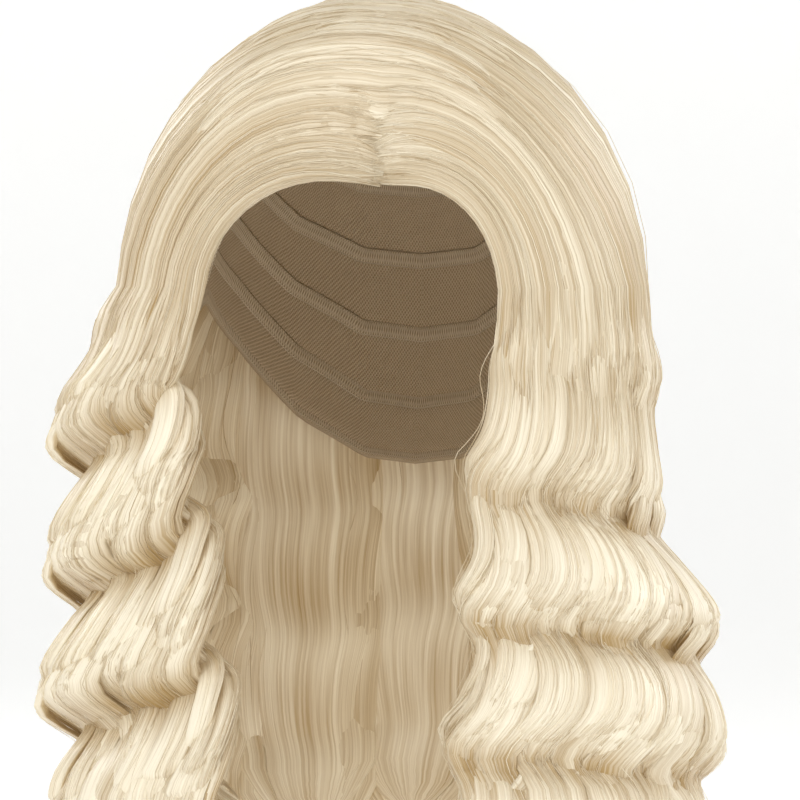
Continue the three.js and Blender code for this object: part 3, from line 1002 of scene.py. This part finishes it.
def on_sheet(sheets, face, s, a, b):
    """Places on sheets: a runs across from -1 to 1, and b from the under to the outer face."""
    sheets = {name: value[:, None, None] for name, value in sheets.items()}
    way = s - sheets["begin"] * CROWN_SHARE * (1 - ease(s / CROWN_SHARE))
    drawn = 1 - sheets["narrow"] * ease((s - 0.4) / 0.55)
    closing = np.sqrt(np.clip((1 - s) / 0.05, 0.02, 1))
    opening = np.sqrt(np.clip(s / 0.05, 0.02, 1))
    changes = {"lag": (1.0, sheets["lag"]), "sway": (sheets["sway"] * sheets["waved"], 0.0),
               "bulge": (sheets["waved"], 0.0), "end": (sheets["end"], 0.0)}
    lateral = a * sheets["half"] * drawn * closing * opening
    place, away, crest = face(sheets["around"] + lateral, way, changes)
    thick = SHEET_THICKNESS / 2 * sheets["thick"] * (0.1 + 0.9 * ease(s / 0.12)) * closing
    lift = sheets["low"] + (sheets["lift"] - sheets["low"]) * ease((s - 0.15) / 0.2)
    rise = lift * ease(s / 0.1) + (b - 1) * thick - ROOT_DIVE * (1 - ease(s / 0.02))
    place = clear_of_cap(place + away * rise[..., None])
    return place, away, a * sheets["half"], crest * sheets["waved"]


def sheet_section():
    """Corners of a lens-shaped section, closer together on the outer face."""
    turn = np.linspace(0, 2 * np.pi, SHEET_CORNERS, endpoint=False)
    turn = turn + 0.45 * np.cos(turn)
    return np.cos(turn), np.sin(turn) * (1 - 0.5 * np.cos(turn) ** 2)


def painted_lens_shade(a, b):
    """Painted light and shade of a sheet: a painted highlight on its outer face, and painted shade
    at its edges.
    """
    return 0.05 * b - 0.06 * np.abs(a) ** 3


corners = np.round(np.stack(sheet_section(), axis=-1), 2)
print("first corners of a sheet's section:", corners[:3].tolist())

# %% Make the sheets
def sheet_object(name, parts, node):
    """The sheets of a section as one object."""
    s = HAIR_STEPS[None, :, None]
    a, b = (c[None, None, :] for c in sheet_section())
    made = []
    for sheets, face in parts:
        count = len(sheets["around"])
        place, away, lateral, crest = on_sheet(sheets, face, s, a, b)
        around, thick, lift, tint = (
            sheets[k][:, None, None] for k in ("around", "thick", "lift", "tint"))
        grooves = 0.5 * np.sin(4.3 * a * thick + 3 * around + 5 * s) * np.abs(b)
        place = place + away * (grooves * ease(s * 4))[..., None]
        one = np.ones((count, s.shape[1], SHEET_CORNERS))
        # painted shade at the edges, in troughs and on lower sheets; painted highlight on the outer
        # face and the crests
        depth = 0.49 + painted_lens_shade(a, b) + 0.04 * lift + 0.38 * crest
        made.append((place, (lateral + PATTERN_SHIFT * around) * one, s * FALL_LENGTH * one,
                     tint * one, depth * one))
    arrays = [np.concatenate(group) for group in zip(*made)]
    tube_object(name, *arrays, sheet_finish, node)


rng = np.random.default_rng(5)
layers = {}
for i, section in enumerate(("front_hair", "side_hair", "back_hair", "centre_hair")):
    start, stop = spread["start"][i], spread["stop"][i]
    for side in SIDES:
        outer, inner = partial(hair_face, side), partial(hair_face, side, inner=True)
        parts = [(lay_sheets(rng, start, stop, spread["sheets"][i]), outer),
                 (lay_curls(rng, start, stop, spread["curls"][i]), outer)]
        if section in ("back_hair", "centre_hair"):
            parts.append((lay_lining(rng, start, stop, LINING_SHEETS), inner))
        node = section if section == "centre_hair" else f"{side}_{section}"
        layers.setdefault(node, []).extend(parts)
nape = [(lay_sheets(rng, *NAPE_RANGE, 4), partial(under_face, side, i))
        for side in SIDES for i in range(3)]
nape.append((lay_lining(rng, *NAPE_RANGE, 7), middle_face))
nape += [(lay_lining(rng, *NAPE_RANGE, 6), partial(under_face, side, 2)) for side in SIDES]
layers["nape_hair"] = nape
for node, parts in layers.items():
    sheet_object(f"{node}_sheets", parts, node)

# %% [markdown]
# ## Arches over the parting
# A brushed crown hardly shows its parting. The long sheets of both sides could be lengthened
# to meet, but then each would end at a line. So short sheets run across it like low arches,
# from well down one side to well down the other, and dive under the long sheets at both
# ends. At the front they lie low, so that a short soft line of the parting stays.

# %% Place the arches
ARCH_STEPS, ARCH_COUNT, ARCH_LENGTH, ARCH_DIVE = 29, 26, 60, 4.0
ARCH_STRANDS = 110


def lay_arches(rng, count):
    """Random values of sheets that cross the parting, from the hairline back."""
    place = np.linspace(9, 168, count) + rng.uniform(-2, 2, count)
    return {
        "around": place,
        "half": np.minimum(rng.uniform(6, 13, count), place - 1),
        "lift": rng.uniform(-0.4, 0.6, count) - 1.2 + 2.2 * ease((place - 12) / 40),
        "reach": rng.uniform(0.35, 0.85, count),
        "skew": rng.uniform(-0.15, 0.15, count),
        "thick": rng.uniform(0.5, 0.9, count),
        "tint": rng.normal(0, 0.05, count),
    }


def over_parting(arches, t, a, b):
    """Places on arches: t runs from -1 on the right side over the parting to 1 on the left."""
    arches = {name: value[:, None, None] for name, value in arches.items()}
    way = t + arches["skew"] * (1 - t * t)
    share = np.abs(way) * arches["reach"] * CROWN_SHARE
    away_from_end = 1 - np.abs(t)
    lateral = a * arches["half"] * np.sqrt(np.clip(away_from_end / 0.6, 0.02, 1))
    around = arches["around"] + lateral
    right, left = (hair_face(side, around, share, {}) for side in ("right", "left"))
    beyond = (way + 0 * lateral)[..., None] > 0
    place, away = (np.where(beyond, left[k], right[k]) for k in range(2))
    risen = ease(away_from_end / 0.6)
    thick = SHEET_THICKNESS / 2 * arches["thick"] * (0.1 + 0.9 * ease(away_from_end / 0.4))
    rise = arches["lift"] * risen - ARCH_DIVE * (1 - risen) + (b - 1) * thick
    return clear_of_cap(place + away * rise[..., None]), away, a * arches["half"]


arches = lay_arches(rng, ARCH_COUNT)
arch_way = np.linspace(-1, 1, ARCH_STEPS)[None, :, None]
print("arches over the parting:", len(arches["around"]))

# %% Make the arches
def arch_sheets():
    """The arches as one object."""
    a, b = (c[None, None, :] for c in sheet_section())
    place, away, lateral = over_parting(arches, arch_way, a, b)
    one = np.ones(place.shape[:3])
    around, tint = arches["around"][:, None, None], arches["tint"][:, None, None]
    # painted shade: darker at the front, where the arches lie low, and at both ends, where they
    # dive under the long sheets
    depth = 0.52 + 0.06 * ease((around - 12) / 45) + painted_lens_shade(a, b) - 0.12 * np.abs(arch_way) ** 4
    tube_object("crown_arch_sheets", place, lateral + PATTERN_SHIFT * around * one,
                arch_way * ARCH_LENGTH * one, tint * one, depth * one, sheet_finish,
                "right_front_hair")


def arch_strands(count):
    """Fine strands on the arches as one object."""
    of = rng.integers(0, len(arches["around"]), count)
    own = {name: value[of] for name, value in arches.items()}
    t = arch_way[:, :, 0]
    a = rng.uniform(-1, 1, (count, 1, 1)) + wander(rng, count, t, (1.0, 2.0), 0.15)[:, :, None]
    b = np.sqrt(np.clip(1 - a ** 2, 0, 1))
    place, away, lateral = (x[:, :, 0] for x in over_parting(own, arch_way, a, b))
    place = place + away * (0.15 + wander(rng, count, t, (2.0, 5.0), 0.35))[..., None]
    one = np.ones((*place.shape[:2], 3))
    shade = own["tint"][:, None, None] + rng.normal(0, STRAND_TINT, (count, 1, 1))
    lateral = lateral + STRAND_SHIFT * rng.random((count, 1))
    tube_object("crown_arch_strands", strand_points(place, away, STRAND_RADIUS * one[..., 0]),
                lateral[..., None] + CORNER_SHIFT, arch_way * ARCH_LENGTH * one, shade * one,
                0.66 * one, strand_finish, "left_front_hair")


arch_sheets()
arch_strands(int(ARCH_STRANDS * few))

# %% [markdown]
# ## Strands
# Fine strands break up the sheets. More streaks in the pattern would be cheaper, but wouldn't
# show against the light at the edge. Each strand lies on a sheet, drifts a little along its
# way and ends near the sheet's tip. A few stray further out, as on any brushed wig.

# %% Lay the strands
LYING, STRAYING = 0.6, 5.0
budget = {"front_hair": 205, "side_hair": 170, "back_hair": 100, "centre_hair": 90,
          "nape_hair": 70}


def strands_on(rng, sheets, face, count, stray):
    """Strands spread over sheets, standing off them by up to stray millimetres."""
    of = rng.integers(0, len(sheets["around"]), count)
    own = {name: value[of] for name, value in sheets.items()}
    own["end"] = own["end"] * (1 + rng.normal(0, 0.012, count))
    s = HAIR_STEPS[None, :, None]
    flat = s[None, 0, :, 0]
    drift = rng.uniform(-1, 1, (count, 1, 1))
    a = drift + wander(rng, count, flat, (1.0, 3.0), 0.12)[:, :, None]
    b = np.sqrt(np.clip(1 - a ** 2, 0.0, 1))
    place, away, lateral, crest = (x[:, :, 0] for x in on_sheet(own, face, s, a, b))
    loose = stray * rng.random((count, 1)) ** 3
    loose = loose * (0.5 + wander(rng, count, flat, (1.5, 4.0, 7.0), 1.0))
    s = s[:, :, 0] * np.ones((count, 1))
    rise = 0.1 + wander(rng, count, flat, (3.0, 6.0, 11.0), 0.25) + loose * ease(s * 5)
    place = clear_of_cap(place + away * rise[..., None])
    thinning = 1 - 0.7 * ease((s - 0.75) / 0.25)
    radius = STRAND_RADIUS * thinning * rng.uniform(0.7, 1.3, (count, 1))
    tint = own["tint"][:, None] + rng.normal(0, STRAND_TINT, (count, 1)) + 0 * s
    lateral = lateral + 0 * s + STRAND_SHIFT * rng.random((count, 1))
    # the third value is painted light: a painted highlight on wave crests and painted shade in
    # troughs
    others = (v[..., None] + 0 * CORNER_SHIFT for v in (s * FALL_LENGTH, tint, 0.64 + 0.2 * crest))
    return (strand_points(place, away, radius), lateral[..., None] + CORNER_SHIFT, *others)


for node, parts in layers.items():
    each = budget[node.replace("left_", "").replace("right_", "")] * few
    sheet_count = sum(len(sheets["around"]) for sheets, face in parts)
    made = []
    for sheets, face in parts:
        count = int(each * len(sheets["around"]) / sheet_count) + 1
        made.append(strands_on(rng, sheets, face, count, LYING))
        made.append(strands_on(rng, sheets, face, count // 10 + 1, STRAYING))
    arrays = [np.concatenate(group) for group in zip(*made)]
    tube_object(f"{node}_strands", *arrays, strand_finish, node)

# %% [markdown]
# ## Floor
# A studio backdrop is a sheet of paper that curves up behind the object. A flat backdrop
# would hide the wig from behind, so this one is a profile spun all round it. It glows a
# little, as paper does that is lit by its own lamps.

# %% Lay the floor
def round_floor():
    """A pale round floor whose edge curves up to a wall, alike from every side."""
    body = bmesh.new()
    low, inner, bend, tall = -0.47, 2.6, 0.8, 2.4
    turns = [k * math.pi / 24 for k in range(13)]
    edge = [(0.0, low)]
    edge += [(inner + bend * math.sin(t), low + bend * (1 - math.cos(t))) for t in turns]
    edge.append((inner + bend, low + bend + tall))
    verts = [body.verts.new((x, 0, z)) for x, z in edge]
    edges = [body.edges.new(pair) for pair in zip(verts, verts[1:])]
    bmesh.ops.spin(body, geom=verts + edges, cent=(0, 0, 0), axis=(0, 0, 1),
                   angle=2 * math.pi, steps=64, use_merge=True)
    material = bpy.data.materials.new("pale_paper")
    material.use_nodes = True
    shader = material.node_tree.nodes["Principled BSDF"]
    shader.inputs["Base Color"].default_value = (0.93, 0.93, 0.92, 1)
    shader.inputs["Emission Color"].default_value = (1, 1, 1, 1)
    shader.inputs["Emission Strength"].default_value = 0.27
    shader.inputs["Roughness"].default_value = 0.9
    return finish_mesh("studio_floor", body, material)


paper = round_floor()
print("the floor has", len(paper.data.polygons), "faces")

# %% [markdown]
# ## Lights
# The photo is lit softly from all round, a little more from one side. One large soft lamp
# stands in front and above, one on the brighter side, one over the crown and one behind each
# side, and a faint even light fills the folds.

# %% Hang the lights
def soft_light(name, place, aim, size, power):
    """A square area light that looks at a point."""
    lamp = bpy.data.lights.new(name, "AREA")
    lamp.shape, lamp.size, lamp.energy = "SQUARE", size, power
    holder = bpy.data.objects.new(name, lamp)
    bpy.context.scene.collection.objects.link(holder)
    holder.location = place
    direction = Vector(aim) - Vector(place)
    holder.rotation_euler = direction.to_track_quat("-Z", "Y").to_euler()


soft_light("key", (-0.5, -1.6, 1.4), (0, 0, -0.12), 1.0, 9.5)
soft_light("bright_side", (1.5, -0.9, 0.5), (0, 0, -0.12), 0.9, 2.2)
soft_light("top", (0.1, -0.5, 1.5), (0, -0.02, 0), 0.8, 6.2)
soft_light("rim_left", (-1.3, 1.0, 0.5), (0, 0, -0.1), 0.7, 6)
soft_light("rim_right", (1.3, 1.0, 0.5), (0, 0, -0.1), 0.7, 6)
world = bpy.data.worlds.new("studio_air")
bpy.context.scene.world = world
world.use_nodes = True
world.node_tree.nodes["Background"].inputs["Color"].default_value = (1, 1, 1, 1)
world.node_tree.nodes["Background"].inputs["Strength"].default_value = 0.22
print("lamps:", [lamp.name for lamp in bpy.data.lights])

# %% [markdown]
# ## Camera
# The photo looks at the wig from its left side as worn, turned by about ten degrees, and
# almost level. A long lens from 1.8 m keeps the sides from bulging, as a portrait lens does.
# The frame's width is worked out from the scale of the photo, and the lens follows from it.

# %% Place the camera
AZIMUTH, RISE, DISTANCE = math.radians(10), math.radians(2), 1.8
FRAME_WIDTH, AIM_ASIDE, AIM_HEIGHT = 0.336, 0.007, -0.138
lens = bpy.data.cameras.new("portrait_view")
lens.sensor_width = 36
lens.lens = 36 * DISTANCE / FRAME_WIDTH
camera = bpy.data.objects.new("portrait_view", lens)
bpy.context.scene.collection.objects.link(camera)
aim = np.array([AIM_ASIDE * math.cos(AZIMUTH), AIM_ASIDE * math.sin(AZIMUTH), AIM_HEIGHT])
level = math.cos(RISE)
back = np.array([math.sin(AZIMUTH) * level, -math.cos(AZIMUTH) * level, math.sin(RISE)])
camera.location = aim + back * DISTANCE
camera.rotation_euler = (math.pi / 2 - RISE, 0, AZIMUTH)
bpy.context.scene.camera = camera
bpy.context.scene.view_settings.view_transform = "Standard"
print("the lens is", round(lens.lens), "mm long")
